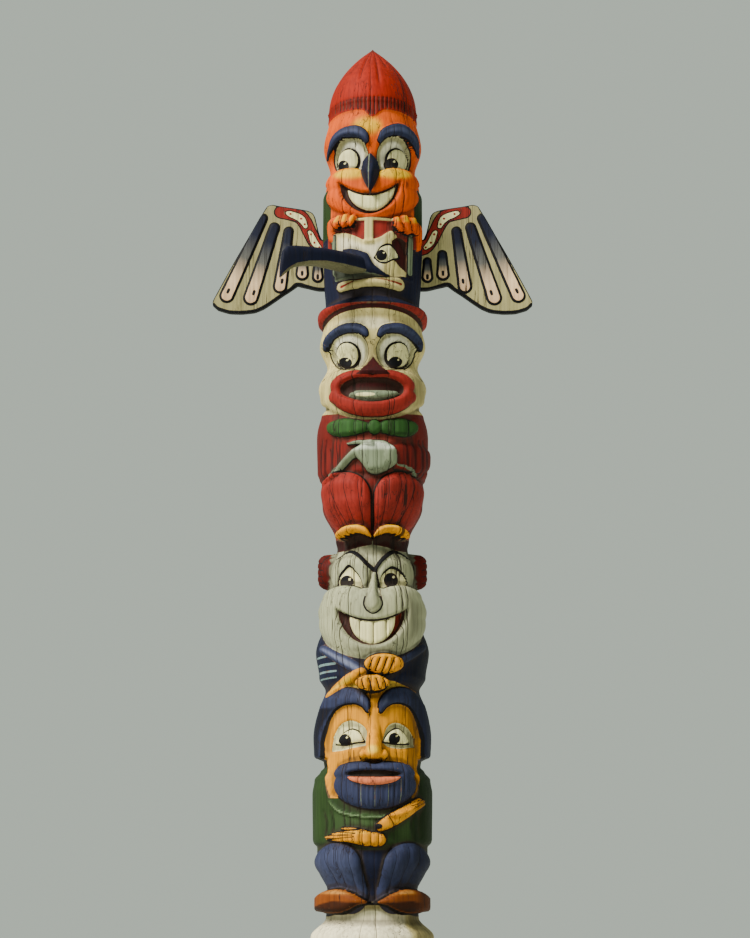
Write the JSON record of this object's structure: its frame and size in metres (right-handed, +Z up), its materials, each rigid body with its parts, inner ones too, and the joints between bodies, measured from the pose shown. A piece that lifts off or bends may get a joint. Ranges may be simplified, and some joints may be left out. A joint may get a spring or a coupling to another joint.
{
  "type": "totem pole",
  "caption": "Tall carved and painted wooden totem pole: stacked heads and seated figures under a pointed hood, with board wings and a raven's beak.",
  "frame": {"origin": "centre of the log's flat underside, on the pole's axis, where it stands on the ground", "axes": "+Z up along the pole, the carved front faces -Y, the viewer's right is +X"},
  "size_m": [2.106, 1.1172, 6.8001],
  "materials": {
    "cedar_painted": "weathered matt paint on carved cedar",
    "wing_board": "weathered matt paint on a sawn board",
    "beak_paint": "dark matt paint on carved cedar"
  },
  "bodies": {
    "root": {"pole": "cedar_painted", "wing_left": "wing_board", "wing_right": "wing_board", "beak": "beak_paint"}
  },
  "joints": []
}
